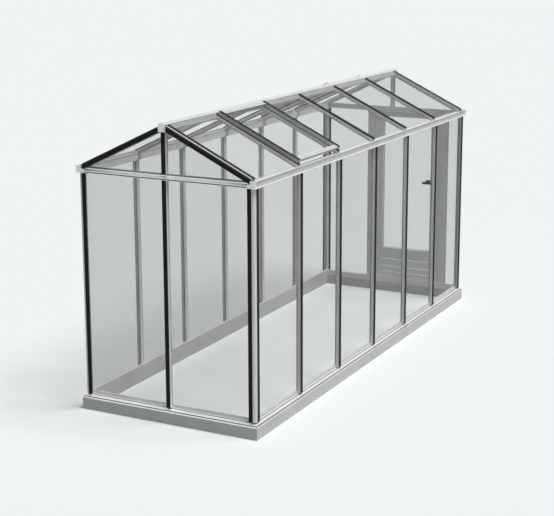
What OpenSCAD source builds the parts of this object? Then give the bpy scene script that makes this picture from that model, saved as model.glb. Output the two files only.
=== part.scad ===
// Glass greenhouse on a raised metal base, with a gable door, eave gutters and two roof vents.
// The origin is on the ground in the middle of the plan, +Z is up and the door gable faces -Y.

/* [Plan] */
// Distance from one glazing bar to the next
bay = 745; // [720:5:790]
// Number of glass bays along each long side
side_bays = 6; // [4:1:8]
// Distance from the last grid line out to the face of the cover strips
corner_out = 47; // [44:1:54]
// Distance from the face of the cover strips out to the face of the base
base_out = 18; // [14:1:30]

/* [Heights] */
// Height of the base rails
base_h = 95; // [80:1:140]
// Height of the sill's upstand over the base rails
sill_h = 55; // [50:1:70]
// Height of the gutter's underside
eave_z = 1963; // [1800:1:2100]
// Slope of the roof in degrees
pitch = 25.5; // [22:0.5:30]
// Height of each gable rail
gable_rail_h = 46; // [42:1:60]

/* [Profiles] */
// Width of the cover strips
cap_w = 36; // [30:1:40]
// Thickness of the cover strips
cap_t = 5; // [4:0.5:7]
// Depth of the glazing bars outside the glass
rib_h = 26; // [20:1:32]
// Thickness of the glass
glass_t = 4; // [3:0.5:5]
// Radius of the rounded outer corner of the corner posts
corner_r = 30; // [24:1:34]
// Thickness of the sill's upstand behind the glass
upstand_w = 13; // [10:1:20]

/* [Roof vents] */
// Bay that holds a vent, counted from the back on the left and from the front on the right
vent_bay = 2; // [1:1:4]
// Height of a vent's frame over the cover strips
vent_h = 25; // [20:1:36]

/* [Door] */
// Width of the glass between the corner post and the lock jamb
lock_pane_w = 116; // [80:1:200]
// Width of the door leaf
door_w = 770; // [700:1:780]
// Thickness of the door leaf
door_t = 32; // [30:1:36]
// Width of each door stile
stile_w = 108; // [90:1:130]
// Height of the top of the kick panel
kick_top = 472; // [420:1:700]
// Height of the handle's spindle
handle_z = 1228; // [900:1:1300]
// Distance from the handle's spindle to the tip of its lever
lever_l = 108; // [80:1:120]

/* [Hidden] */
$fn = 64;

// Metal thicknesses, glass slots and the bedding round the glass
wall = 2;
flange_t = 2.5;
lip_t = 1.5;
lip_h = 4;
ledge = 2;
bed = 0.1;
slot_d = 10;
pane_in = 8;
rib_w = cap_w + 2 * ledge;
spine_w = rib_w - 2 * slot_d;
skin = cap_t + rib_h;
slot_t = glass_t + 2 * bed;
under_glass = glass_t + bed + flange_t;
inner_d = flange_t + lip_h;

// Plan sizes
grid_x = bay;
grid_y = bay * side_bays / 2;
cap_x = grid_x + corner_out;
cap_y = grid_y + corner_out;
base_x = cap_x + base_out;
base_y = cap_y + base_out;
glass_x = cap_x - skin;
glass_y = cap_y - skin;
strip_proud = 2;
arm = corner_r + cap_w + ledge;
post_side = 16;
post_arm = corner_r + post_side;
post_slot = 6;
corner_cap_in = corner_r + cap_w / 2;
pane_gap = rib_w / 2 - pane_in;
rafter_pane_gap = arm - pane_in;
corner_pane_gap = post_arm - post_slot + ledge;

// Base and sill, measured inwards from the face of the base and up from its top
glass_u = base_out + skin;
base_w = glass_u + glass_t + bed + upstand_w;
base_wall = 4;
base_groove = 2.5;
sill_edge = 3;
sill_knee = 14;
sill_knee_h = 18;
sill_ledge_h = 34;
glass_sink = 6;
sill_seat_h = sill_ledge_h - glass_sink;
sill_lip_t = 2;
sill_lip_u = glass_u - bed - sill_lip_t;
sill_groove = 3;
sill_grooves = [7, 34];

// Heights
upstand_z = base_h + sill_h;
seat_z = base_h + sill_seat_h;
foot_gap = 2;
foot_z = base_h + sill_ledge_h + foot_gap;
beam_drop = 13;
post_top = eave_z - beam_drop;
rail_z = eave_z;
rail_top = rail_z + gable_rail_h;
rail_mid = rail_z + gable_rail_h / 2;
slot = 5;
wall_gap = 1;
wall_top = eave_z - wall_gap;

// Roof: the apex is where the outer faces of both slopes' glass would meet
rise = tan(pitch);
lean = cos(pitch);
roof_lift = 39;
beam_in = cap_x - arm + slot_d - ledge;
apex_z = eave_z + roof_lift + glass_x * rise;
rafter_top = 9;
rafter_d = rafter_top + cap_w + ledge;
rafter_groove = 4;
ridge_half = 28;
ridge_neck = 18;
ridge_side = 24;
ridge_waist = 22;
ridge_eave = 27;
ridge_edge = 3;
ridge_crown = 14;
ridge_up = 42;
ridge_drop = 28;
ridge_over = 16;
ridge_cap_t = 4;
rib_over = 1;
cap_over = 5;
glass_over = 9;
rib_foot = glass_x + rib_over;
cap_foot = glass_x + cap_over;
glass_foot = glass_x + glass_over;

// Gable rail
rail_nose = 2;
rail_back = 18;
rail_nose_h = 16;
rail_bevel = 14;
rail_groove = 3;

// Gutter
gutter_w = base_x - (glass_x - glass_t);
gutter_h = 57;
gutter_t = 3;
gutter_r = 12;
gutter_lip = 4;
gutter_bead = 4;
gutter_step = 6;
end_cap_t = 12;
end_cap_h = 30;
end_cap_rim = 3;

// Vents
vent_skin = skin + vent_h;
vent_slot_v = 14;
vent_below_ridge = 24;
vent_past_glass = 8;
vent_reach = (vent_skin + cap_t) * sin(pitch);
vent_s0 = (ridge_half + vent_below_ridge - vent_reach) / lean;
vent_s1 = (glass_x + vent_past_glass - vent_reach) / lean;
vent_groove = 4;

// Door
jamb_w = 60;
jamb_box = 40;
jamb_d = 43;
stop_w = 12;
stop_t = 6;
leaf_gap = 5;
leaf_lo = post_arm - cap_x + lock_pane_w + jamb_w + leaf_gap;
leaf_hi = leaf_lo + door_w;
leaf_foot_gap = 6;
leaf_head_gap = 6;
leaf_z0 = upstand_z + leaf_foot_gap;
leaf_z1 = rail_z - leaf_head_gap;
inner_w = door_w - 2 * stile_w;
top_rail_h = 40;
kick_inset = 4;
kick_groove = 7;
kick_lines = [0.17, 0.37, 0.63];
hinge_r = 7;
pin_r = 3;
pin_gap = 0.05;
hinge_out = 8;
hinge_inset = 180;
hinge_t = 3;
hinge_x = leaf_hi + leaf_gap / 2;
hinge_y = cap_y + hinge_out;
knuckle = 30;
knuckle_gap = 0.5;
hinge_plate = 32;
hinge_heights = [leaf_z0 + hinge_inset, (leaf_z0 + leaf_z1) / 2, leaf_z1 - hinge_inset];
spindle_r = 5;
spindle_in = 20;
spindle_x = leaf_lo + stile_w - spindle_in;
rose_r = 20;
rose_t = 6;
lever_out = 45;
lever_hub = 12;
lever_t = 16;

// Colours
metal = [0.78, 0.79, 0.79];
strip = [0.2, 0.2, 0.2];
pane = [0.78, 0.82, 0.8, 0.35];

function glass_z(x) = apex_z - x * rise;
function below(d) = d / lean;
function side_grid() = [for (i = [1 : side_bays - 1]) -grid_y + i * bay];

// Placing

module along_y(len) { rotate([90, 0, 0]) linear_extrude(len, center = true) children(); }

module along_x(len) { rotate([90, 0, 90]) linear_extrude(len, center = true) children(); }

// Turns a section drawn with its outward side towards +Y to face a wall
module facing(side) {
  turn = side == "back" ? 0 : side == "left" ? 90 : side == "front" ? 180 : -90;
  rotate(turn) children();
}

module sloping(side) {
  mirror([side == "left" ? 1 : 0, 0, 0]) children();
}

// Runs a section down the right slope between two plain vertical cuts, and over a level one
module slope_run(from, to, floor_z = 0) {
  intersection() {
    translate([0, 0, apex_z])
      rotate([0, pitch, 0])
        rotate([90, 0, 90])
          translate([0, 0, -2 * ridge_half]) linear_extrude(2 * base_x) children();
    translate([from, -2 * base_y, floor_z]) cube([to - from, 4 * base_y, 2 * apex_z]);
  }
}

// Runs a section down the right slope between two square cuts
module down_slope(from, to) {
  translate([0, 0, apex_z]) rotate([0, pitch, 0]) rotate([90, 0, 90])
    translate([0, 0, from]) linear_extrude(to - from) children();
}

// Runs a section level across the right slope
module across_slope(from, to) {
  translate([0, 0, apex_z]) rotate([0, pitch, 0])
    translate([0, to, 0]) rotate([90, 0, 0]) linear_extrude(to - from) children();
}

module each_corner() {
  for (mx = [0, 1], my = [0, 1])
    mirror([mx, 0, 0]) mirror([0, my, 0])
      translate([cap_x, cap_y, 0]) rotate(180) children();
}

module both_ends() {
  for (my = [0, 1]) mirror([0, my, 0]) children();
}

// Sections

// Glazing bar: a hollow rib outside the glass, a spine between the panes and an inner flange,
// measured sideways from its middle and outwards from the outer face of the glass
module bar_rib_2d() {
  difference() {
    translate([-rib_w / 2, bed]) square([rib_w, rib_h - bed]);
    translate([-rib_w / 2 + wall, bed + wall]) square([rib_w - 2 * wall, rib_h - bed - 2 * wall]);
  }
}

module bar_spine_2d() {
  translate([-spine_w / 2, -under_glass]) square([spine_w, under_glass + bed + wall / 2]);
}

module bar_flange_2d() {
  translate([-rib_w / 2, -under_glass]) square([rib_w, flange_t]);
}

module bar_lips_2d() {
  for (u = [-rib_w / 2, rib_w / 2 - lip_t])
    translate([u, -under_glass - lip_h]) square([lip_t, lip_h + flange_t]);
}

module bar_2d() {
  bar_rib_2d();
  bar_spine_2d();
  bar_flange_2d();
  bar_lips_2d();
}

module cap_2d(w = cap_w) {
  bevel = cap_t / 2;
  polygon([
    [-w / 2, 0], [-w / 2, cap_t - bevel], [-w / 2 + bevel, cap_t],
    [w / 2 - bevel, cap_t], [w / 2, cap_t - bevel], [w / 2, 0]
  ]);
}

// Corner profile, measured inwards from the faces of the cover strips on its two sides
module corner_2d() {
  inner = skin + glass_t + wall;
  difference() {
    union() {
      intersection() {
        translate([corner_r, corner_r]) circle(corner_r - strip_proud);
        square(corner_r);
      }
      translate([corner_r, cap_t]) square([post_arm - corner_r, post_arm - cap_t]);
      translate([cap_t, corner_r]) square([post_arm - cap_t, post_arm - corner_r]);
    }
    corner_half_2d();
    mirror([1, -1]) corner_half_2d();
    intersection() {
      translate([corner_r, corner_r]) circle(corner_r - strip_proud - wall);
      square(corner_r - wall);
    }
    translate([inner, inner]) square(post_arm - inner - wall);
  }
}

// Glass slot and rib chamber of one side of the corner profile
module corner_half_2d() {
  translate([skin - bed, post_arm - post_slot]) square([slot_t, post_slot + 1]);
  translate([cap_t + wall, corner_r])
    square([rib_h - bed - 2 * wall, post_arm - corner_r - wall]);
}

// Gable rafter profile, measured inwards from the gable's strips and down from the roof's strips
module rafter_2d() {
  chamber_w = rib_h - bed - 2 * wall;
  chamber_v = cap_t + rafter_groove + wall;
  inner = skin + glass_t + wall;
  difference() {
    translate([cap_t, cap_t]) square([arm - cap_t, rafter_d - cap_t]);
    translate([arm - slot_d, skin - bed]) square([slot_d + 1, slot_t]);
    translate([skin - bed, rafter_d - slot_d]) square([slot_t, slot_d + 1]);
    for (share = [1, 2])
      translate([cap_t + share * (corner_r - cap_t) / 3, cap_t])
        square([rafter_groove, 2 * rafter_groove], center = true);
    translate([cap_t + wall, chamber_v]) square([chamber_w, rafter_d - chamber_v - wall]);
    translate([inner, cap_t + wall]) square([arm - inner - wall, chamber_w]);
    translate([inner, inner]) square([arm - inner - wall, rafter_d - inner - wall]);
  }
}

// Base and sills

module base_2d() {
  difference() {
    square([base_w, base_h]);
    translate([base_wall, base_wall]) square([base_w - 2 * base_wall, base_h - 2 * base_wall]);
    for (share = [1, 2]) translate([base_w, share * base_h / 3]) ledge_groove_2d(base_groove);
  }
}

// Groove in a face that looks along +X, with a level top and a sloping lower side
module ledge_groove_2d(d) {
  polygon([[-d, 0], [1, 0], [1, -2 * d], [0, -2 * d], [-d, -d / 2]]);
}

function sill_top(u) = u < sill_knee
  ? sill_edge + (sill_knee_h - sill_edge) * u / sill_knee
  : sill_knee_h + (sill_ledge_h - sill_knee_h) * (u - sill_knee) / (sill_lip_u - sill_knee);

module sill_2d() {
  translate([0, base_h])
    difference() {
      polygon([
        [0, 0], [base_w, 0], [base_w, sill_h], [glass_u + glass_t + bed, sill_h],
        [glass_u + glass_t + bed, sill_seat_h], [glass_u - bed, sill_seat_h],
        [glass_u - bed, sill_h], [sill_lip_u, sill_h], [sill_lip_u, sill_ledge_h],
        [sill_knee, sill_knee_h], [0, sill_edge]
      ]);
      for (u = sill_grooves)
        translate([u, sill_top(u) - sill_groove]) square([sill_groove, 3 * sill_groove]);
      polygon([
        [sill_knee, base_wall], [base_w - base_wall, base_wall],
        [base_w - base_wall, sill_seat_h - base_wall], [sill_lip_u, sill_seat_h - base_wall],
        [sill_knee, sill_knee_h / 2]
      ]);
    }
}

module side_run() {
  depth = base_w;
  intersection() {
    translate([base_x, 0, 0]) mirror([1, 0, 0]) along_y(2 * base_y) children();
    linear_extrude(2 * apex_z)
      polygon([
        [base_x, base_y], [base_x - depth, base_y - depth],
        [base_x - depth, depth - base_y], [base_x, -base_y]
      ]);
  }
}

module end_run() {
  depth = base_w;
  intersection() {
    translate([0, base_y, 0]) mirror([0, 1, 0]) along_x(2 * base_x) children();
    linear_extrude(2 * apex_z)
      polygon([
        [base_x, base_y], [base_x - depth, base_y - depth],
        [depth - base_x, base_y - depth], [-base_x, base_y]
      ]);
  }
}

module base_side_rails() {
  color(metal) for (m = [0, 1]) mirror([m, 0, 0]) side_run() base_2d();
}

module base_end_rails() {
  color(metal) both_ends() end_run() base_2d();
}

module side_sills() {
  color(metal) for (m = [0, 1]) mirror([m, 0, 0]) side_run() sill_2d();
}

module end_sills() {
  color(metal) both_ends() end_run() sill_2d();
}

// Posts and bars of the walls

// Part of the corner profile that stands outside the sill's lips
module outside_lip_2d() {
  difference() {
    corner_2d();
    translate([skin - bed - sill_lip_t - bed, skin - bed - sill_lip_t - bed]) square(arm);
  }
}

module corner_posts() {
  color(metal) each_corner() {
    translate([0, 0, upstand_z]) linear_extrude(post_top - upstand_z) corner_2d();
    translate([0, 0, foot_z]) linear_extrude(upstand_z - foot_z) outside_lip_2d();
    translate([0, 0, post_top]) linear_extrude(wall_top - post_top)
      intersection() {
        corner_2d();
        square([skin - bed, arm]);
      }
  }
}

module standing_bar(top, inner_top) {
  foot_in = sill_lip_t + 2 * bed;
  translate([0, 0, upstand_z]) linear_extrude(inner_top - upstand_z) bar_2d();
  translate([0, 0, foot_z]) linear_extrude(upstand_z - foot_z)
    intersection() {
      bar_rib_2d();
      translate([-rib_w, foot_in]) square([2 * rib_w, skin]);
    }
  if (top > inner_top)
    translate([0, 0, inner_top]) linear_extrude(top - inner_top) bar_rib_2d();
}

module side_wall_bars(side) {
  color(metal) facing(side)
    for (u = side_grid()) translate([u, glass_x, 0]) standing_bar(wall_top, post_top);
}

module left_wall_bars() { side_wall_bars("left"); }

module right_wall_bars() { side_wall_bars("right"); }

module gable_bar() {
  translate([0, glass_y, rail_top]) linear_extrude(apex_z - ridge_drop - rail_top) bar_2d();
}

module back_wall_bars() {
  color(metal) {
    translate([0, glass_y, 0]) standing_bar(rail_z, rail_z);
    gable_bar();
  }
}

module front_gable_bar() {
  color(metal) facing("front") gable_bar();
}

// Cover strips

module standing_cap(u, face, bottom, top, w = cap_w) {
  translate([u, face - cap_t, bottom]) linear_extrude(top - bottom) cap_2d(w);
}

module side_wall_caps(side) {
  corner_cap = cap_y - corner_cap_in;
  color(strip) facing(side)
    for (u = concat(side_grid(), [-corner_cap, corner_cap]))
      standing_cap(u, cap_x, foot_z, wall_top);
}

module left_wall_caps() { side_wall_caps("left"); }

module right_wall_caps() { side_wall_caps("right"); }

module gable_caps() {
  corner_cap = cap_x - corner_cap_in;
  for (u = [-corner_cap, corner_cap]) standing_cap(u, cap_y, foot_z, wall_top);
  standing_cap(0, cap_y, rail_top, apex_z - ridge_drop);
  for (side = ["left", "right"]) sloping(side) rafter_cap();
}

// Cover strip on the gable face of a sloping rafter
module rafter_cap() {
  slope_run(ridge_half, glass_x - glass_t, rail_z)
    translate([cap_y - cap_t, skin - rafter_top - cap_w / 2]) rotate(-90) cap_2d();
}

module back_wall_caps() {
  color(strip) {
    gable_caps();
    standing_cap(0, cap_y, foot_z, rail_z);
  }
}

module front_wall_caps() {
  strip_w = jamb_w - jamb_box;
  reach = leaf_gap + jamb_box + strip_w / 2;
  color(strip) facing("front") {
    gable_caps();
    standing_cap(-leaf_hi - reach, cap_y, foot_z, rail_z, strip_w);
    standing_cap(-leaf_lo + reach, cap_y, foot_z, rail_z, strip_w);
  }
}

module roof_caps(side) {
  corner_cap = cap_y - corner_cap_in;
  color(strip) sloping(side)
    for (y = concat(side_grid(), [-corner_cap, corner_cap]))
      slope_run(ridge_side, cap_foot) translate([y, rib_h]) cap_2d();
}

module left_roof_caps() { roof_caps("left"); }

module right_roof_caps() { roof_caps("right"); }

// Eaves, gutters and gable rails

module gutter_outline_2d() {
  front = gutter_w - gutter_step;
  slant = gutter_bead + gutter_step;
  translate([glass_x - glass_t, eave_z])
    polygon([
      [0, 0], [gutter_w, 0], [gutter_w, gutter_bead], [front, slant],
      [front, gutter_h - slant], [gutter_w, gutter_h - gutter_bead], [gutter_w, gutter_h], [0, gutter_h]
    ]);
}

module gutter_hollow_2d() {
  inside_w = gutter_w - gutter_step - 2 * gutter_t;
  translate([glass_x - glass_t + gutter_t, eave_z + gutter_t]) {
    square([inside_w - gutter_r, gutter_h]);
    translate([0, gutter_r]) square([inside_w, gutter_h]);
    translate([inside_w - gutter_r, gutter_r]) circle(gutter_r);
  }
}

module eave_2d() {
  outer = glass_x - glass_t;
  beam_top = glass_z(outer) - below(under_glass);
  difference() {
    union() {
      difference() {
        gutter_outline_2d();
        gutter_hollow_2d();
      }
      polygon([
        [beam_in, post_top], [outer, post_top], [outer, eave_z], [outer + gutter_t, eave_z],
        [outer + gutter_t, glass_z(outer + gutter_t) - below(under_glass)],
        [beam_in, glass_z(beam_in) - below(under_glass)]
      ]);
      translate([base_x - gutter_step - gutter_t - gutter_lip, eave_z + gutter_h - gutter_t])
        square([gutter_lip + gutter_t, gutter_t]);
    }
    translate([outer, beam_top]) square([gutter_t, gutter_h]);
    translate([beam_in + wall, post_top + wall])
      square([outer - beam_in - 2 * wall, beam_top - post_top - 2 * wall]);
  }
}

module eave_gutter(side) {
  color(metal) sloping(side)
    difference() {
      along_y(2 * cap_y) eave_2d();
      both_ends() translate([beam_in - 1, cap_y - cap_t, post_top - 1])
        cube([glass_x - glass_t - beam_in + 1, cap_t + 1, gutter_h + 2 * gutter_r]);
    }
}

module left_eave_gutter() { eave_gutter("left"); }

module right_eave_gutter() { eave_gutter("right"); }

module gutter_end_caps() {
  color(metal) both_ends() for (side = ["left", "right"]) sloping(side)
    difference() {
      translate([0, cap_y + end_cap_t / 2, 0]) along_y(end_cap_t) {
        gutter_outline_2d();
        translate([beam_in, eave_z]) square([gutter_w, end_cap_h]);
      }
      translate([0, cap_y + end_cap_t, 0]) along_y(2 * end_cap_rim)
        intersection() {
          gutter_hollow_2d();
          translate([beam_in, eave_z]) square([2 * gutter_w, gutter_h - end_cap_rim]);
        }
    }
}

// Rail across a gable with a slot for glass above and below, measured outwards and upwards
module gable_rail_2d() {
  nose = cap_y + rail_nose;
  upper = cap_y - rail_back;
  inside = glass_y - glass_t - inner_d;
  chamber = glass_y + bed + wall;
  difference() {
    polygon([
      [inside, rail_z], [nose, rail_z], [nose, rail_z + rail_nose_h],
      [upper, rail_z + rail_nose_h + rail_bevel], [upper, rail_top], [inside, rail_top]
    ]);
    for (edge = [rail_z, rail_top])
      translate([glass_y - glass_t - bed, edge - gable_rail_h / 2 + slot / 2])
        square([slot_t, gable_rail_h - slot]);
    translate([nose, rail_z + rail_nose_h / 2 - rail_groove]) mirror([0, 1]) ledge_groove_2d(rail_groove);
    translate([chamber, rail_z + wall]) {
      square([upper - wall - chamber, gable_rail_h - 2 * wall]);
      square([nose - rail_groove - wall - chamber, rail_nose_h - 2 * wall]);
    }
  }
}

module back_gable_rail() {
  color(metal) along_x(2 * beam_in) gable_rail_2d();
}

module front_gable_rail() {
  color(metal) facing("front") along_x(2 * beam_in) gable_rail_2d();
}

// Roof frame

module gable_rafters() {
  color(metal) both_ends() for (side = ["left", "right"]) sloping(side) {
    slope_run(ridge_half, beam_in, rail_top)
      translate([cap_y, skin]) rotate(180) rafter_2d();
    slope_run(beam_in, glass_x - glass_t)
      translate([cap_y, skin]) rotate(180)
        intersection() {
          rafter_2d();
          square([arm, skin + under_glass]);
        }
  }
}

module roof_bars(side) {
  color(metal) sloping(side)
    for (y = side_grid()) {
      slope_run(ridge_half, beam_in) translate([y, 0]) bar_2d();
      slope_run(beam_in, glass_x - glass_t) translate([y, 0]) {
        bar_rib_2d();
        bar_spine_2d();
        bar_flange_2d();
      }
      slope_run(glass_x - glass_t, rib_foot) translate([y, 0]) bar_rib_2d();
    }
}

module left_roof_bars() { roof_bars("left"); }

module right_roof_bars() { roof_bars("right"); }

function strip_seat(x) = glass_z(x) + below(rib_h);

// Height of the underside of the ridge's crown, just over the upper ends of the strips
crown_z = strip_seat(ridge_waist) + below(cap_t) + bed;

// Right half of the ridge profile, from its underside round to its crown
function ridge_points() = [
  [ridge_half, apex_z - ridge_drop], [ridge_half, glass_z(ridge_half) - below(glass_t + bed)],
  [ridge_neck, glass_z(ridge_neck) - below(glass_t + bed)], [ridge_neck, glass_z(ridge_neck) + below(bed)],
  [ridge_half, glass_z(ridge_half) + below(bed)], [ridge_half, strip_seat(ridge_half)],
  [ridge_waist, strip_seat(ridge_waist)], [ridge_waist, crown_z], [ridge_eave, crown_z],
  [ridge_eave, crown_z + ridge_edge], [ridge_crown, apex_z + ridge_up]
];

function mirrored(points) = [for (i = [len(points) - 1 : -1 : 0]) [-points[i][0], points[i][1]]];

module ridge_2d() {
  polygon(concat(ridge_points(), mirrored(ridge_points())));
}

module ridge_beam() {
  inside = ridge_neck - 2 * wall;
  floor_z = apex_z - ridge_drop + 2 * wall;
  color(metal) along_y(2 * (cap_y + ridge_over))
    difference() {
      ridge_2d();
      translate([-inside, floor_z]) square([2 * inside, apex_z + ridge_up - ridge_crown - floor_z]);
    }
}

module ridge_end_caps() {
  color(metal) both_ends()
    translate([0, cap_y + ridge_over + ridge_cap_t / 2, 0]) along_y(ridge_cap_t) ridge_2d();
}

// Glass

module wall_glass(side) {
  color(pane) facing(side)
    for (i = [0 : side_bays - 1]) {
      lo = i == 0 ? -cap_y + corner_pane_gap : -grid_y + i * bay + pane_gap;
      hi = i == side_bays - 1 ? cap_y - corner_pane_gap : -grid_y + (i + 1) * bay - pane_gap;
      translate([lo, glass_x - glass_t, seat_z]) cube([hi - lo, glass_t, wall_top - seat_z]);
    }
}

module left_wall_glass() { wall_glass("left"); }

module right_wall_glass() { wall_glass("right"); }

// Gable pane, notched where an eave beam passes over its outer edge
module gable_pane(lo, hi) {
  side = beam_in - ledge;
  left = max(lo, -side);
  right = min(hi, side);
  translate([lo, glass_y - glass_t, seat_z]) cube([hi - lo, glass_t, post_top - ledge - seat_z]);
  translate([left, glass_y - glass_t, seat_z]) cube([right - left, glass_t, rail_mid - slot - seat_z]);
}

// The two panes between the gable rail and the rafters
module gable_top_panes() {
  bottom = rail_mid + slot;
  top = apex_z - ridge_drop - ledge;
  bite = below(rafter_d - slot_d + ledge - skin);
  side = beam_in - ledge;
  for (m = [0, 1]) mirror([m, 0, 0])
    translate([0, glass_y, 0]) rotate([90, 0, 0]) linear_extrude(glass_t)
      polygon([
        [pane_gap, bottom], [side, bottom], [side, glass_z(side) - bite],
        [(glass_z(0) - bite - top) / rise, top], [pane_gap, top]
      ]);
}

module back_glass() {
  edge = cap_x - corner_pane_gap;
  color(pane) {
    gable_pane(pane_gap, edge);
    gable_pane(-edge, -pane_gap);
    gable_top_panes();
  }
}

module front_glass() {
  edge = cap_x - corner_pane_gap;
  reach = leaf_gap + jamb_w - pane_in;
  color(pane) facing("front") {
    gable_pane(-edge, -leaf_hi - reach);
    gable_pane(-leaf_lo + reach, edge);
    gable_top_panes();
  }
}

module roof_pane(lo, hi) {
  slope_run(ridge_neck + ledge, glass_foot)
    translate([lo, -glass_t]) square([hi - lo, glass_t]);
}

function vent_index(side) = side == "right" ? vent_bay - 1 : side_bays - vent_bay;

module roof_glass(side) {
  color(pane) sloping(side)
    for (i = [0 : side_bays - 1])
      if (i != vent_index(side)) {
        lo = i == 0 ? -cap_y + rafter_pane_gap : -grid_y + i * bay + pane_gap;
        hi = i == side_bays - 1 ? cap_y - rafter_pane_gap : -grid_y + (i + 1) * bay - pane_gap;
        roof_pane(lo, hi);
      }
}

module left_roof_glass() { roof_glass("left"); }

module right_roof_glass() { roof_glass("right"); }

// Roof vents, closed on the cover strips of their bay

function vent_lo(side) = -grid_y + vent_index(side) * bay;

// Vent rail with a glass slot on its right and a chamber, measured from its outer lower edge
module vent_rail_2d() {
  difference() {
    square([rib_w, vent_h]);
    translate([rib_w - slot_d, vent_slot_v - bed]) square([slot_d + 1, slot_t]);
    translate([wall, wall]) square([rib_w - slot_d - 2 * wall, vent_h - 2 * wall - vent_groove]);
  }
}

module vent_side_rails() {
  color(metal) for (side = ["left", "right"]) sloping(side)
    down_slope(vent_s0, vent_s1) {
      translate([vent_lo(side) - rib_w / 2, skin]) vent_rail_2d();
      translate([vent_lo(side) + bay + rib_w / 2, skin]) mirror([1, 0]) vent_rail_2d();
    }
}

module vent_cross_rails() {
  color(metal) for (side = ["left", "right"]) sloping(side)
    across_slope(vent_lo(side) + rib_w / 2, vent_lo(side) + bay - rib_w / 2)
      difference() {
        union() {
          translate([vent_s0, skin]) vent_rail_2d();
          translate([vent_s1, skin]) mirror([1, 0]) vent_rail_2d();
        }
        for (share = [1, 2], end = [vent_s0, vent_s1 - rib_w])
          translate([end + share * rib_w / 3, vent_skin])
            square([vent_groove, 2 * vent_groove], center = true);
      }
}

module vent_caps() {
  color(strip) for (side = ["left", "right"], y = [vent_lo(side), vent_lo(side) + bay]) sloping(side)
    down_slope(vent_s0, vent_s1) translate([y, vent_skin]) cap_2d();
}

module vent_glass() {
  inset = rib_w - pane_in;
  span = bay - 2 * pane_gap;
  color(pane) for (side = ["left", "right"]) sloping(side)
    down_slope(vent_s0 + inset, vent_s1 - inset)
      translate([vent_lo(side) + pane_gap, skin + vent_slot_v]) square([span, glass_t]);
}

// Door frame and leaf, with depths measured inwards from the face of the cover strips

// Jamb profile with half a glazing bar on its far side, measured away from the leaf and inwards
module jamb_2d() {
  far = jamb_w - jamb_box;
  difference() {
    square([jamb_box, jamb_d]);
    translate([wall, wall]) square([jamb_box - 2 * wall, jamb_d - 2 * wall]);
  }
  difference() {
    translate([jamb_box - wall, cap_t]) square([far + wall, skin + under_glass - cap_t]);
    translate([jamb_w - slot_d, skin - bed]) square([slot_d + 1, slot_t]);
    translate([jamb_box, cap_t + wall]) square([far - wall, rib_h - bed - 2 * wall]);
  }
  translate([-stop_w, jamb_d - stop_t]) square([stop_w + wall, stop_t]);
}

module jamb() {
  translate([0, 0, upstand_z]) linear_extrude(rail_z - upstand_z) jamb_2d();
  translate([0, 0, foot_z]) linear_extrude(upstand_z - foot_z)
    intersection() {
      jamb_2d();
      square([jamb_w, skin - 2 * bed - sill_lip_t]);
    }
}

module door_jambs() {
  color(metal) {
    translate([leaf_hi + leaf_gap, -cap_y, 0]) jamb();
    translate([leaf_lo - leaf_gap, -cap_y, 0]) mirror([1, 0, 0]) jamb();
  }
}

module spindle_hole(r) {
  translate([spindle_x, 0, handle_z]) rotate([90, 0, 0]) cylinder(r = r, h = 4 * cap_y, center = true);
}

module stile(lo) {
  translate([lo, -cap_y, leaf_z0]) linear_extrude(leaf_z1 - leaf_z0)
    difference() {
      square([stile_w, door_t]);
      translate([wall, wall]) square([stile_w - 2 * wall, door_t - 2 * wall]);
    }
}

module door_stiles() {
  color(metal) {
    stile(leaf_hi - stile_w);
    difference() {
      stile(leaf_lo);
      spindle_hole(spindle_r + pin_gap);
    }
  }
}

module door_top_rail() {
  color(metal) translate([(leaf_lo + leaf_hi) / 2, -cap_y, leaf_z1 - top_rail_h]) along_x(inner_w)
    difference() {
      square([door_t, top_rail_h]);
      translate([wall, wall]) square([door_t - 2 * wall, top_rail_h - 2 * wall]);
    }
}

module door_kick_panel() {
  panel_h = kick_top - leaf_z0;
  panel_t = door_t - 2 * kick_inset;
  color(metal) translate([(leaf_lo + leaf_hi) / 2, kick_inset - cap_y, leaf_z0]) along_x(inner_w)
    difference() {
      square([panel_t, panel_h]);
      for (share = kick_lines) {
        translate([panel_t, share * panel_h]) ledge_groove_2d(kick_groove);
        translate([0, share * panel_h]) mirror([1, 0]) ledge_groove_2d(kick_groove);
      }
    }
}

module door_glass() {
  color(pane) translate([leaf_lo + stile_w, (door_t - glass_t) / 2 - cap_y, kick_top])
    cube([inner_w, glass_t, leaf_z1 - top_rail_h - kick_top]);
}

module at_hinges() {
  for (z = hinge_heights) translate([hinge_x, -hinge_y, z]) children();
}

module door_hinge_brackets() {
  color(metal) at_hinges() {
    cylinder(r = pin_r, h = 3 * knuckle, center = true);
    for (z = [-1.5, 0.5]) translate([0, 0, z * knuckle]) {
      cylinder(r = hinge_r, h = knuckle);
      translate([0, hinge_out - hinge_t, 0]) cube([hinge_plate, hinge_t, knuckle]);
    }
  }
}

module door_hinge_leaves() {
  long = knuckle - 2 * knuckle_gap;
  color(metal) at_hinges() translate([0, 0, -long / 2])
    difference() {
      union() {
        cylinder(r = hinge_r, h = long);
        translate([-hinge_plate, hinge_out - hinge_t, 0]) cube([hinge_plate, hinge_t, long]);
      }
      translate([0, 0, -1]) cylinder(r = pin_r + pin_gap, h = long + 2);
    }
}

module door_roses() {
  color(strip) for (d = [-rose_t, door_t])
    translate([spindle_x, d - cap_y, handle_z]) rotate([-90, 0, 0])
      difference() {
        cylinder(r = rose_r, h = rose_t);
        translate([0, 0, -1]) cylinder(r = spindle_r + pin_gap, h = rose_t + 2);
      }
}

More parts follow.
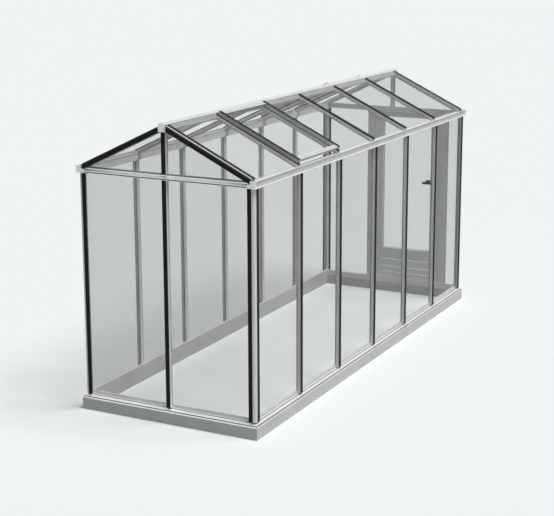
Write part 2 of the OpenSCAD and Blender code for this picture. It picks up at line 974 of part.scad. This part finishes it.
module lever() {
  hub_l = lever_out - rose_t - knuckle_gap;
  cylinder(r = lever_hub, h = hub_l);
  translate([0, -lever_hub, hub_l - lever_t]) cube([lever_l - lever_hub, 2 * lever_hub, lever_t]);
  translate([lever_l - lever_hub, 0, hub_l - lever_t]) cylinder(r = lever_hub, h = lever_t);
}

module door_handle() {
  reach = rose_t + knuckle_gap;
  color(strip) translate([spindle_x, -cap_y, handle_z]) {
    translate([0, -reach - 1, 0]) rotate([-90, 0, 0]) cylinder(r = spindle_r, h = door_t + 2 * reach + 2);
    translate([0, -reach, 0]) rotate([90, 0, 0]) lever();
    translate([0, door_t + reach, 0]) rotate([-90, 0, 0]) lever();
  }
}

base_side_rails();
base_end_rails();
side_sills();
end_sills();
corner_posts();
left_wall_bars();
right_wall_bars();
back_wall_bars();
front_gable_bar();
left_wall_caps();
right_wall_caps();
back_wall_caps();
front_wall_caps();
left_roof_caps();
right_roof_caps();
left_eave_gutter();
right_eave_gutter();
gutter_end_caps();
back_gable_rail();
front_gable_rail();
gable_rafters();
left_roof_bars();
right_roof_bars();
ridge_beam();
ridge_end_caps();
left_wall_glass();
right_wall_glass();
back_glass();
front_glass();
left_roof_glass();
right_roof_glass();
vent_side_rails();
vent_cross_rails();
vent_caps();
vent_glass();
door_jambs();
door_hinge_brackets();
door_stiles();
door_top_rail();
door_kick_panel();
door_glass();
door_hinge_leaves();
door_roses();
door_handle();
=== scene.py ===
import math

import bmesh
import bpy
from mathutils import Matrix, Vector


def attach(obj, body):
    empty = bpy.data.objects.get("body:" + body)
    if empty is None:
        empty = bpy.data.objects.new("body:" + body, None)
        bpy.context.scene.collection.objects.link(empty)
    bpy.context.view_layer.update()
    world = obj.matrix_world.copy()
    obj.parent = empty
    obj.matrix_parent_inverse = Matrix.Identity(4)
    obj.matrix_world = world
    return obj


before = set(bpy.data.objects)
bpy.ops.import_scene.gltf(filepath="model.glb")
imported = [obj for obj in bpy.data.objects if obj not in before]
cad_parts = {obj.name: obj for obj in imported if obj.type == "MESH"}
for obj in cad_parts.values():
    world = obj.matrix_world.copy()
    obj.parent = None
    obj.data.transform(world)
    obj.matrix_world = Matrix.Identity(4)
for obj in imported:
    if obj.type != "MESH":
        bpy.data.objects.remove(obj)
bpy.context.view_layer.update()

# The camera, from a fit of the building's grid to the photograph's frame, in pixels and metres
PHOTO_W = 554
PHOTO_H = 516
FOCAL_PX = 1346.12
CENTRE_PX = (294.46, 223.40)
CAMERA_AT = Vector((-5.4468, 10.8764, 3.8267))
CAMERA_YAW = math.radians(-63.2871)
CAMERA_PITCH = math.radians(-12.259)
CAMERA_FAR = 200.0
SENSOR_MM = 36.0

# The building's measures, in metres
BAY = 0.745
GRID = [BAY * i for i in range(-2, 3)]
STRIP_X = 0.792
STRIP_Y = 2.282
GLASS_X = 0.761
GLASS_Y = 2.251
GLASS_T = 0.004
RIB_HALF = 0.020
POST_ARM = 0.046
RAFTER_ARM = 0.068
SILL_TOP = 0.150
BEAM_UNDER = 1.950
BEAM_IN = 0.732
RAIL_Z = (1.963, 2.009)
ROOF_FOOT_Z = RAIL_Z[0] + 0.039
ROOF_FOOT_X = GLASS_X + 0.009
PITCH = math.radians(25.5)
RISE = math.tan(PITCH)
APEX_Z = ROOF_FOOT_Z + GLASS_X * RISE
RAFTER_UNDER = 0.016 / math.cos(PITCH)
RIDGE_HALF = 0.028
RIDGE_DROP = 0.028
VENT_MID = (GRID[3] + GRID[4]) / 2
DOORWAY_X = (-0.630, 0.270)
DOOR_PANE = ((-0.457, 0.097), (0.472, 1.917))
DOOR_PANE_Y = (-2.268, -2.264)
HINGE_X = 0.2075
HINGE_FACE_Y = -2.285
HINGE_Z = (0.336, 1.0565, 1.777)


def add_camera():
    data = bpy.data.cameras.new("camera")
    data.sensor_fit = "HORIZONTAL"
    data.sensor_width = SENSOR_MM
    data.lens = FOCAL_PX * SENSOR_MM / PHOTO_W
    data.shift_x = (PHOTO_W / 2 - CENTRE_PX[0]) / PHOTO_W
    data.shift_y = (CENTRE_PX[1] - PHOTO_H / 2) / PHOTO_W
    data.clip_end = CAMERA_FAR
    camera = bpy.data.objects.new("camera", data)
    bpy.context.collection.objects.link(camera)
    level = math.cos(CAMERA_PITCH)
    look = Vector((
        level * math.cos(CAMERA_YAW), level * math.sin(CAMERA_YAW), math.sin(CAMERA_PITCH)
    ))
    right = look.cross(Vector((0, 0, 1))).normalized()
    up = right.cross(look)
    turn = Matrix((right, up, -look)).transposed().to_4x4()
    camera.matrix_world = Matrix.Translation(CAMERA_AT) @ turn
    bpy.context.scene.camera = camera


# Materials


class Nodes:
    """A new material's node tree with its Principled shader."""

    def __init__(self, name):
        self.material = bpy.data.materials.new(name)
        self.material.use_nodes = True
        self.tree = self.material.node_tree
        self.shader = self.tree.nodes["Principled BSDF"]

    def add(self, kind, **values):
        node = self.tree.nodes.new(kind)
        for key, value in values.items():
            setattr(node, key, value)
        return node

    def link(self, source, target):
        self.tree.links.new(source, target)

    def drive(self, socket, source):
        self.link(source, self.shader.inputs[socket])

    def set(self, **values):
        for key, value in values.items():
            self.shader.inputs[key.replace("_", " ")].default_value = value

    def noise(self, scale, detail=3.0, roughness=0.5):
        """Noise in object space, with its own scale on each axis."""
        coords = self.add("ShaderNodeTexCoord")
        mapping = self.add("ShaderNodeMapping")
        mapping.inputs["Scale"].default_value = scale
        texture = self.add("ShaderNodeTexNoise")
        texture.inputs["Scale"].default_value = 1.0
        texture.inputs["Detail"].default_value = detail
        texture.inputs["Roughness"].default_value = roughness
        self.link(coords.outputs["Object"], mapping.inputs["Vector"])
        self.link(mapping.outputs["Vector"], texture.inputs["Vector"])
        return texture.outputs["Fac"]

    def ramp(self, factor, low, high, start=0.3, end=0.7):
        ramp = self.add("ShaderNodeValToRGB")
        ramp.color_ramp.elements[0].position = start
        ramp.color_ramp.elements[0].color = (*low, 1.0)
        ramp.color_ramp.elements[1].position = end
        ramp.color_ramp.elements[1].color = (*high, 1.0)
        self.link(factor, ramp.inputs["Fac"])
        return ramp.outputs["Color"]

    def spread(self, factor, low, high):
        spread = self.add("ShaderNodeMapRange")
        spread.inputs["To Min"].default_value = low
        spread.inputs["To Max"].default_value = high
        self.link(factor, spread.inputs["Value"])
        return spread.outputs["Result"]

    def mix(self, a, b, **values):
        """Two colours, mixed in full unless the node's factor is linked afterwards."""
        mix = self.add("ShaderNodeMixRGB", **values)
        mix.inputs["Fac"].default_value = 1.0
        self.link(a, mix.inputs["Color1"])
        self.link(b, mix.inputs["Color2"])
        return mix

    def multiplied(self, a, b):
        return self.mix(a, b, blend_type="MULTIPLY").outputs["Color"]

    def chosen(self, factor, a, b):
        mix = self.mix(a, b)
        self.link(factor, mix.inputs["Fac"])
        return mix.outputs["Color"]

    def math(self, operation, source, value=0.0):
        node = self.add("ShaderNodeMath", operation=operation)
        self.link(source, node.inputs[0])
        node.inputs[1].default_value = value
        return node.outputs[0]

    def pair(self, operation, a, b):
        node = self.add("ShaderNodeMath", operation=operation)
        self.link(a, node.inputs[0])
        self.link(b, node.inputs[1])
        return node.outputs[0]

    def axes(self):
        coords = self.add("ShaderNodeTexCoord")
        axes = self.add("ShaderNodeSeparateXYZ")
        self.link(coords.outputs["Object"], axes.inputs[0])
        return axes.outputs

    def off(self, axis, middle):
        """How far a point is from the nearer one of the planes at middle and -middle."""
        gap = self.math("SUBTRACT", self.math("ABSOLUTE", self.axes()[axis]), middle)
        return self.math("ABSOLUTE", gap)

    def beyond(self, axis, middle, reach):
        """1 where a point is further than reach from both planes."""
        return self.math("GREATER_THAN", self.off(axis, middle), reach)

    def lines(self, axis, half, middles):
        """1 in bands that reach half to both sides of their middles."""
        nearest = self.off(axis, middles[0])
        for middle in middles[1:]:
            nearest = self.pair("MINIMUM", nearest, self.off(axis, middle))
        return self.math("LESS_THAN", nearest, half)

    def over_slope(self, rise, top):
        """1 over the two slopes that fall by rise from a ridge at height top."""
        axes = self.axes()
        fall = self.math("MULTIPLY", self.math("ABSOLUTE", axes["X"]), rise)
        return self.math("GREATER_THAN", self.pair("ADD", fall, axes["Z"]), top)

    def bump(self, height, strength, distance):
        bump = self.add("ShaderNodeBump")
        bump.inputs["Strength"].default_value = strength
        bump.inputs["Distance"].default_value = distance
        self.link(height, bump.inputs["Height"])
        self.drive("Normal", bump.outputs["Normal"])


def shade(colour, factor):
    return tuple(min(1.0, c * factor) for c in colour)


def even(scale):
    return (scale, scale, scale)


# Fine die lines run along an extrusion and are about a millimetre apart across it
ALONG = 2.5
ACROSS = 700.0
RUNS = {
    "x": (ALONG, ACROSS, ACROSS),
    "y": (ACROSS, ALONG, ACROSS),
    "z": (ACROSS, ACROSS, ALONG),
}
LINE_GREYS = (even(0.93), even(1.0))
CLOUD_SCALE = 5.0
DUST_SCALE = 7.0
HAZE_SCALE = (2.2, 2.2, 1.1)
WAVE_SCALE = (3.0, 3.0, 1.2)
BRUSH_SCALE = (60.0, 60.0, 1400.0)
GLASS_IOR = 1.5
GLASS_FALLOFF = 3.0
STEEL_METALLIC = 0.9

# Roughness and metallic values of the extrusions
SATIN = 0.42
SMOOTH = 0.36
POST_ROUGH = 0.34
BASE_ROUGH = 0.50
DULL = 0.1
CAP_SHINE = 0.5
SILL_SHINE = 0.65
RAIL_SHINE = 0.75
KICK_SHINE = 0.9


def aluminium(
    name, colour, run, roughness=SATIN, metallic=DULL, overlay=None, overlaid=None, polished=None
):
    """Satin extruded metal: die lines along its length, soft clouding and uneven gloss.

    A second colour goes where overlaid is 1: a dark finish on some pieces, painted shade on
    others. With polished, the metallic value holds only where that is 1.
    """
    n = Nodes(name)
    lines = n.noise(RUNS[run], detail=2.0)
    clouds = n.noise(even(CLOUD_SCALE), detail=4.0, roughness=0.6)
    cloud_colour = n.ramp(clouds, shade(colour, 0.93), shade(colour, 1.04))
    metal = n.multiplied(cloud_colour, n.ramp(lines, *LINE_GREYS))
    if overlay:
        metal = n.chosen(overlaid(n), metal, n.ramp(clouds, overlay, shade(overlay, 1.4)))
    n.drive("Base Color", metal)
    n.drive("Roughness", n.spread(lines, roughness - 0.08, roughness + 0.1))
    if polished:
        n.drive("Metallic", n.spread(polished(n), DULL, metallic))
    else:
        n.set(Metallic=metallic)
    n.bump(lines, strength=0.12, distance=0.0004)
    return n.material


def plastic(name, colour, roughness, grain, gloss=0.2):
    """Moulded plastic or rubber with a fine grain and a little dust."""
    n = Nodes(name)
    fine = n.noise(even(grain))
    dust = n.noise(even(DUST_SCALE), detail=5.0, roughness=0.65)
    n.drive("Base Color", n.ramp(dust, colour, shade(colour, 1.5), start=0.4, end=0.75))
    n.drive("Roughness", n.spread(fine, roughness - 0.06, roughness + 0.1))
    n.set(Specular_IOR_Level=gloss)
    n.bump(fine, strength=0.2, distance=0.0003)
    return n.material


def sheet_glass(name, colour, veil, grazing):
    """Clear sheet glass: a grey-green cast, faint haze, and a veil that thins at a low angle."""
    n = Nodes(name)
    haze = n.noise(HAZE_SCALE, detail=4.0, roughness=0.6)
    waves = n.noise(WAVE_SCALE, detail=1.0)
    n.drive("Base Color", n.ramp(haze, shade(colour, 0.94), shade(colour, 1.05)))
    n.drive("Roughness", n.spread(haze, 0.03, 0.09))
    facing = n.add("ShaderNodeLayerWeight")
    low_angle = n.math("POWER", facing.outputs["Facing"], GLASS_FALLOFF)
    n.drive("Alpha", n.spread(low_angle, veil, grazing))
    n.set(IOR=GLASS_IOR)
    n.bump(waves, strength=0.05, distance=0.002)
    return n.material


def brushed_steel(name, colour):
    n = Nodes(name)
    lines = n.noise(BRUSH_SCALE, detail=2.0)
    n.drive("Base Color", n.ramp(lines, shade(colour, 0.8), shade(colour, 1.1)))
    n.drive("Roughness", n.spread(lines, 0.25, 0.42))
    n.set(Metallic=STEEL_METALLIC)
    n.bump(lines, strength=0.1, distance=0.0002)
    return n.material


def dress(material, *nodes):
    for node in nodes:
        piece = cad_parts[node]
        piece.data.materials.clear()
        piece.data.materials.append(material)


SILVER = (0.92, 0.925, 0.92)
GUTTER = (0.78, 0.785, 0.78)
RIDGE = (0.70, 0.705, 0.70)
BRIGHT = (0.74, 0.745, 0.74)
POST = (0.96, 0.965, 0.96)
BASE_GREY = (0.72, 0.725, 0.72)
DOOR_GREY = (0.92, 0.925, 0.92)
# Near-black for the roof bars' ribs over the glass, and painted shade on the rafters' outer part
ROOF_BLACK_AND_SHADE = (0.05, 0.052, 0.05)
VENT_COAT = (0.42, 0.422, 0.42)
# Painted shade in the grooves of the rails and sills
GROOVE_SHADE = (0.12, 0.122, 0.12)
STRIP_BLACK = (0.034, 0.035, 0.034)
SEAL_GREY = (0.62, 0.63, 0.62)
HANDLE_BLACK = (0.022, 0.022, 0.023)
STEEL_GREY = (0.55, 0.56, 0.57)
GLASS_CAST = (0.12, 0.14, 0.13)

# Where the coats, the painted shade on the rafters and in the grooves, and the polished faces
# lie, in metres
COAT_OVER_GLASS = 0.021
RAFTER_SHADE_Y = 2.266
VENT_COAT_OFF = 0.386
OUTER_FACE_Y = 2.255
RAIL_LINES_Z = (2.005, 1.970)
RAIL_LINE_HALF = 0.0045
END_SILL_LINES_Y = (2.2915, 2.2645)
SIDE_SILL_LINES_X = (0.8015, 0.7745)
SILL_LINE_HALF = 0.003
KICK_LINES_Z = (0.2115, 0.2745, 0.3565)
KICK_LINE_HALF = 0.004


def outer_face(n):
    return n.beyond("Y", 0.0, OUTER_FACE_Y)


# The rail's grooves on its outer face, where shade is painted as dark lines
def rail_groove_shade(n):
    shaded_grooves = n.lines("Z", RAIL_LINE_HALF, RAIL_LINES_Z)
    return n.pair("MULTIPLY", shaded_grooves, outer_face(n))


bars_z = aluminium("bar_metal_upright", SILVER, "z")
post_z = aluminium("post_metal", POST, "z", POST_ROUGH)
bars_y = aluminium("bar_metal_long", GUTTER, "y")
roof_x = aluminium(
    "roof_bar_metal", SILVER, "x", overlay=ROOF_BLACK_AND_SHADE,
    overlaid=lambda n: n.over_slope(RISE, APEX_Z + COAT_OVER_GLASS / math.cos(PITCH)),
)
# The rafters' outer part is painted dark: painted shade on their gable faces and rounded corners
rafter_x = aluminium(
    "rafter_metal", SILVER, "x", overlay=ROOF_BLACK_AND_SHADE,
    overlaid=lambda n: n.beyond("Y", 0.0, RAFTER_SHADE_Y),
)
vent_x = aluminium(
    "vent_metal", SILVER, "x", overlay=VENT_COAT,
    overlaid=lambda n: n.beyond("Y", VENT_MID, VENT_COAT_OFF),
)
cap_x = aluminium("end_cap_metal", POST, "x", SMOOTH, CAP_SHINE)
# Dark lines painted into the rail's grooves are painted shade
rail_x = aluminium(
    "rail_metal", POST, "x", SMOOTH, RAIL_SHINE, overlay=GROOVE_SHADE,
    overlaid=rail_groove_shade, polished=outer_face,
)
# Dark lines painted along the end sills' grooves are painted shade
bright_x = aluminium(
    "sill_metal_cross", POST, "x", SMOOTH, SILL_SHINE, overlay=GROOVE_SHADE,
    overlaid=lambda n: n.lines("Y", SILL_LINE_HALF, END_SILL_LINES_Y), polished=outer_face,
)
# Dark lines painted along the side sills' grooves are painted shade
bright_y = aluminium(
    "sill_metal_long", BRIGHT, "y", SMOOTH, overlay=GROOVE_SHADE,
    overlaid=lambda n: n.lines("X", SILL_LINE_HALF, SIDE_SILL_LINES_X),
)
ridge_y = aluminium("ridge_metal", RIDGE, "y")
base_x = aluminium("base_metal_cross", BASE_GREY, "x", BASE_ROUGH)
base_y = aluminium("base_metal_long", BASE_GREY, "y", BASE_ROUGH)
door_z = aluminium("door_metal_upright", DOOR_GREY, "z")
door_x = aluminium(
    "door_metal_cross", DOOR_GREY, "x", metallic=KICK_SHINE,
    polished=lambda n: n.lines("Z", KICK_LINE_HALF, KICK_LINES_Z),
)
strip = plastic("strip_black", STRIP_BLACK, roughness=0.55, grain=900.0, gloss=0.02)
rubber = plastic("seal_rubber", SEAL_GREY, roughness=0.75, grain=1300.0)
handle_black = plastic("handle_black", HANDLE_BLACK, roughness=0.40, grain=1500.0)
steel = brushed_steel("hinge_steel", STEEL_GREY)
glass = sheet_glass("sheet_glass", GLASS_CAST, veil=0.125, grazing=0.03)

PANES = (
    "left_wall_glass", "right_wall_glass", "back_glass", "front_glass",
    "left_roof_glass", "right_roof_glass", "vent_glass", "door_glass",
)
dress(base_y, "base_side_rails")
dress(base_x, "base_end_rails")
dress(bright_y, "side_sills")
dress(bright_x, "end_sills")
dress(post_z, "corner_posts")
dress(bars_z, "left_wall_bars", "right_wall_bars", "back_wall_bars", "front_gable_bar")
dress(rail_x, "back_gable_rail", "front_gable_rail")
dress(bars_y, "left_eave_gutter", "right_eave_gutter")
dress(cap_x, "ridge_end_caps", "gutter_end_caps")
dress(roof_x, "left_roof_bars", "right_roof_bars")
dress(rafter_x, "gable_rafters")
dress(ridge_y, "vent_cross_rails", "ridge_beam")
dress(vent_x, "vent_side_rails")
dress(strip, "left_wall_caps", "right_wall_caps", "back_wall_caps", "front_wall_caps")
dress(strip, "left_roof_caps", "right_roof_caps", "vent_caps")
dress(door_z, "door_jambs", "door_stiles")
dress(door_x, "door_top_rail", "door_kick_panel")
dress(steel, "door_hinge_brackets", "door_hinge_leaves")
dress(handle_black, "door_roses", "door_handle")
dress(glass, *PANES)
for pane in PANES:
    # The lamps shine through the glass
    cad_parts[pane].visible_shadow = False


# Fine detail: profiles as shares of their size, other measures in metres

SEAL = 0.0028
SEAL_PROFILE = [(0, 0), (1, 0), (0.85, 0.45), (0.5, 0.8), (0.15, 1.0), (0, 1.0)]
BEAD = 0.012
BEAD_PROFILE = [(0, 0), (1, 0), (1, 0.25), (0.75, 0.55), (0.3, 0.75), (0, 0.75)]
SWEEP_X = (-0.552, 0.190)
SWEEP_FOOT = 0.152
SWEEP_BACK = -2.250
SWEEP_PROFILE = [
    (0.0, 0.020), (0.0, 0.008), (0.001, 0.0), (0.003, 0.0), (0.004, 0.007),
    (0.006, 0.009), (0.006, 0.018), (0.004, 0.020),
]
SCREW_RINGS = [(1.0, 0.0), (1.0, 0.2), (0.88, 0.42), (0.5, 0.55)]
SCREW_SIDES = 24
LOBES = 6
LOBE_MEAN = 0.40
LOBE_SWING = 0.09
RECESS_TOP = 0.55
RECESS_FLOOR = 0.12
RECESS_TAPER = 0.9
CAP_SCREW = 0.004
GUTTER_CAP_Y = STRIP_Y + 0.012
GUTTER_SCREWS = ((0.742, 1.978), (0.765, 2.006))
RIDGE_CAP_Y = STRIP_Y + 0.0178
RIDGE_SCREWS_Z = (2.354, 2.392)
HINGE_SCREW = 0.0035
HINGE_SCREW_OFF = 0.021
BRACKET_SCREWS_Z = (-0.030, 0.030)
LEAF_SCREWS_Z = (-0.007, 0.007)


def new_piece(name, mesh, material, body):
    piece = bpy.data.objects.new(name, bpy.data.meshes.new(name))
    mesh.normal_update()
    mesh.to_mesh(piece.data)
    mesh.free()
    piece.data.materials.append(material)
    bpy.context.collection.objects.link(piece)
    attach(piece, body)


def bridge(mesh, a, b):
    """Faces between two closed rings of vertices."""
    for k in range(len(a)):
        m = (k + 1) % len(a)
        mesh.faces.new((a[k], a[m], b[m], b[k]))


def add_loop(mesh, corners, normal, profile, size):
    """A mitred strip round the inside of a flat outline, standing on a pane's face."""
    corners = [Vector(c) for c in corners]
    normal = Vector(normal).normalized()
    middle = sum(corners, Vector()) / len(corners)
    count = len(corners)
    rings = []
    for i, corner in enumerate(corners):
        before = (corner - corners[i - 1]).normalized().cross(normal)
        after = (corners[(i + 1) % count] - corner).normalized().cross(normal)
        before = before if before.dot(middle - corner) > 0 else -before
        after = after if after.dot(middle - corner) > 0 else -after
        inward = (before + after).normalized()
        reach = size / inward.dot(before)
        rings.append([
            mesh.verts.new(corner + inward * a * reach + normal * h * size) for a, h in profile
        ])
    for i in range(count):
        bridge(mesh, rings[i], rings[(i + 1) % count])
    bmesh.ops.recalc_face_normals(mesh, faces=mesh.faces)


def add_seal(mesh, corners, normal):
    add_loop(mesh, corners, normal, SEAL_PROFILE, SEAL)


def wall_pane(plane, across, lo, hi, bottom, top):
    """The corners of an upright pane's daylight, on the plane x or y = across."""
    outline = ((lo, bottom), (hi, bottom), (hi, top), (lo, top))
    if plane == "x":
        return [(across, y, z) for y, z in outline]
    return [(x, across, z) for x, z in outline]


def bays(end):
    """The daylight of each bay along a side, between the bars and the two end profiles."""
    bars = [y + s * RIB_HALF for y in GRID for s in (-1, 1)]
    edges = [-STRIP_Y + end] + bars + [STRIP_Y - end]
    return list(zip(edges[0::2], edges[1::2]))


def roof_point(side, s, y, v):
    """A point s down one slope's glass and v over it."""
    x = s * math.cos(PITCH) + v * math.sin(PITCH)
    return Vector((side * x, y, APEX_Z - s * math.sin(PITCH) + v * math.cos(PITCH)))


def add_side_seals(mesh):
    for side in (-1, 1):
        faces = ((GLASS_X, side, RAIL_Z[0]), (GLASS_X - GLASS_T, -side, BEAM_UNDER))
        for lo, hi in bays(POST_ARM):
            for across, normal, top in faces:
                corners = wall_pane("x", side * across, lo, hi, SILL_TOP, top)
                add_seal(mesh, corners, (normal, 0, 0))


def add_gable_seals(mesh):
    post = STRIP_X - POST_ARM
    lower = {
        1: [(-post, -RIB_HALF), (RIB_HALF, post)],
        -1: [(-post, DOORWAY_X[0]), (DOORWAY_X[1], post)],
    }
    slant = APEX_Z - RAFTER_UNDER
    foot = min(BEAM_IN, (slant - RAIL_Z[1]) / RISE)
    top = APEX_Z - RIDGE_DROP
    upper = (
        (RIB_HALF, RAIL_Z[1]), (foot, RAIL_Z[1]), ((slant - top) / RISE, top), (RIB_HALF, top)
    )
    for end in (-1, 1):
        for across, normal in ((GLASS_Y, end), (GLASS_Y - GLASS_T, -end)):
            for lo, hi in lower[end]:
                corners = wall_pane("y", end * across, lo, hi, SILL_TOP, RAIL_Z[0])
                add_seal(mesh, corners, (0, normal, 0))
            for side in (-1, 1):
                corners = [(side * x, end * across, z) for x, z in upper]
                add_seal(mesh, corners, (0, normal, 0))


def add_roof_seals(mesh):
    start = RIDGE_HALF / math.cos(PITCH)
    for side in (-1, 1):
        for lo, hi in bays(RAFTER_ARM):
            if lo < -side * VENT_MID < hi:
                continue
            for v, up, foot in ((0.0, 1, ROOF_FOOT_X), (-GLASS_T, -1, BEAM_IN)):
                stop = foot / math.cos(PITCH)
                outline = ((start, lo), (start, hi), (stop, hi), (stop, lo))
                corners = [roof_point(side, s, y, v) for s, y in outline]
                normal = (side * up * math.sin(PITCH), 0, up * math.cos(PITCH))
                add_seal(mesh, corners, normal)


def add_seals():
    mesh = bmesh.new()
    add_side_seals(mesh)
    add_gable_seals(mesh)
    add_roof_seals(mesh)
    new_piece("glazing_seals", mesh, rubber, "frame")


def add_door_glazing():
    """Beads round the door's pane on both faces, with a seal inside each."""
    (x0, x1), (z0, z1) = DOOR_PANE
    seals = bmesh.new()
    beads = bmesh.new()
    for across, normal in zip(DOOR_PANE_Y, (-1, 1)):
        inner = wall_pane("y", across, x0 + BEAD, x1 - BEAD, z0 + BEAD, z1 - BEAD)
        add_seal(seals, inner, (0, normal, 0))
        outer = wall_pane("y", across, x0, x1, z0, z1)
        add_loop(beads, outer, (0, normal, 0), BEAD_PROFILE, BEAD)
    new_piece("door_glazing_seals", seals, rubber, "door")
    new_piece("door_glazing_beads", beads, door_z, "door")


def add_sweep():
    """A draught strip along the foot of the leaf's inner face, its thin lip over the sill."""
    mesh = bmesh.new()
    a, b = [
        [mesh.verts.new((x, SWEEP_BACK + u, SWEEP_FOOT + v)) for u, v in SWEEP_PROFILE]
        for x in SWEEP_X
    ]
    bridge(mesh, a, b)
    mesh.faces.new(list(reversed(a)))
    mesh.faces.new(b)
    bmesh.ops.recalc_face_normals(mesh, faces=mesh.faces)
    new_piece("door_draught_strip", mesh, door_x, "door")


def add_screw(mesh, at, normal, radius):
    """A pan-head screw with a six-lobed recess, standing on a face."""
    turn = Vector(normal).normalized().to_track_quat("Z", "Y")
    angles = [2 * math.pi * k / SCREW_SIDES for k in range(SCREW_SIDES)]
    lobes = [LOBE_MEAN + LOBE_SWING * math.cos(LOBES * angle) for angle in angles]
    rings = [[(share, height)] * SCREW_SIDES for share, height in SCREW_RINGS]
    rings.append([(share, RECESS_TOP) for share in lobes])
    rings.append([(share * RECESS_TAPER, RECESS_FLOOR) for share in lobes])
    made = []
    for ring in rings:
        made.append([])
        for angle, (share, height) in zip(angles, ring):
            local = Vector((share * math.cos(angle), share * math.sin(angle), height)) * radius
            made[-1].append(mesh.verts.new(Vector(at) + turn @ local))
    for a, b in zip(made, made[1:]):
        bridge(mesh, a, b)
    mesh.faces.new(made[-1])
    mesh.faces.new(list(reversed(made[0])))


def add_hinge_screws(mesh, x, offsets):
    for z in HINGE_Z:
        for dz in offsets:
            add_screw(mesh, (x, HINGE_FACE_Y, z + dz), (0, -1, 0), HINGE_SCREW)


def add_screws():
    mesh = bmesh.new()
    for side in (-1, 1):
        for end in (-1, 1):
            for x, z in GUTTER_SCREWS:
                add_screw(mesh, (side * x, end * GUTTER_CAP_Y, z), (0, end, 0), CAP_SCREW)
    for end in (-1, 1):
        for z in RIDGE_SCREWS_Z:
            add_screw(mesh, (0, end * RIDGE_CAP_Y, z), (0, end, 0), CAP_SCREW)
    add_hinge_screws(mesh, HINGE_X + HINGE_SCREW_OFF, BRACKET_SCREWS_Z)
    new_piece("frame_screws", mesh, steel, "frame")
    mesh = bmesh.new()
    add_hinge_screws(mesh, HINGE_X - HINGE_SCREW_OFF, LEAF_SCREWS_Z)
    new_piece("door_hinge_screws", mesh, steel, "door")


# Studio

FLOOR_SIZE = 120.0
FLOOR_DROP = 0.001
FLOOR_PALE = (0.803, 0.849, 0.840, 1.0)
FLOOR_BOUNCE = (0.265, 0.27, 0.27, 1.0)
SKY_PALE = (0.87, 0.92, 0.91, 1.0)
SKY_LIGHT = (0.10, 0.10, 0.10, 1.0)
SUN_LIGHT = 3.3
SUN_TILT = math.radians(-22)
SUN_SPREAD = math.radians(35)


def seen_directly(tree):
    """1 for camera, glossy and transmission rays."""
    path = tree.nodes.new("ShaderNodeLightPath")
    seen = path.outputs["Is Camera Ray"]
    for ray in ("Is Glossy Ray", "Is Transmission Ray"):
        most = tree.nodes.new("ShaderNodeMath")
        most.operation = "MAXIMUM"
        tree.links.new(seen, most.inputs[0])
        tree.links.new(path.outputs[ray], most.inputs[1])
        seen = most.outputs[0]
    return seen


def two_colours(tree, target, light, pale):
    """Give a socket the pale colour where it is seen directly and the other one as a light."""
    mix = tree.nodes.new("ShaderNodeMixRGB")
    mix.inputs["Color1"].default_value = light
    mix.inputs["Color2"].default_value = pale
    tree.links.new(seen_directly(tree), mix.inputs["Fac"])
    tree.links.new(mix.outputs["Color"], target)


def add_floor():
    mesh = bpy.data.meshes.new("floor")
    half = FLOOR_SIZE / 2
    corners = [(-half, -half, 0), (half, -half, 0), (half, half, 0), (-half, half, 0)]
    mesh.from_pydata(corners, [], [(0, 1, 2, 3)])
    floor = bpy.data.objects.new("floor", mesh)
    floor.location.z = -FLOOR_DROP
    bpy.context.collection.objects.link(floor)
    n = Nodes("floor")
    two_colours(n.tree, n.shader.inputs["Base Color"], FLOOR_BOUNCE, FLOOR_PALE)
    n.set(Roughness=1.0, Specular_IOR_Level=0.0)
    mesh.materials.append(n.material)


def add_light():
    world = bpy.data.worlds.new("studio")
    bpy.context.scene.world = world
    world.use_nodes = True
    background = world.node_tree.nodes["Background"]
    two_colours(world.node_tree, background.inputs["Color"], SKY_LIGHT, SKY_PALE)
    background.inputs["Strength"].default_value = 1.0
    sun = bpy.data.objects.new("key", bpy.data.lights.new("key", "SUN"))
    sun.data.energy = SUN_LIGHT
    sun.data.angle = SUN_SPREAD
    sun.rotation_euler = (0, SUN_TILT, 0)
    bpy.context.collection.objects.link(sun)


add_seals()
add_door_glazing()
add_sweep()
add_screws()
add_camera()
add_floor()
add_light()

bpy.context.scene.view_settings.view_transform = "Standard"
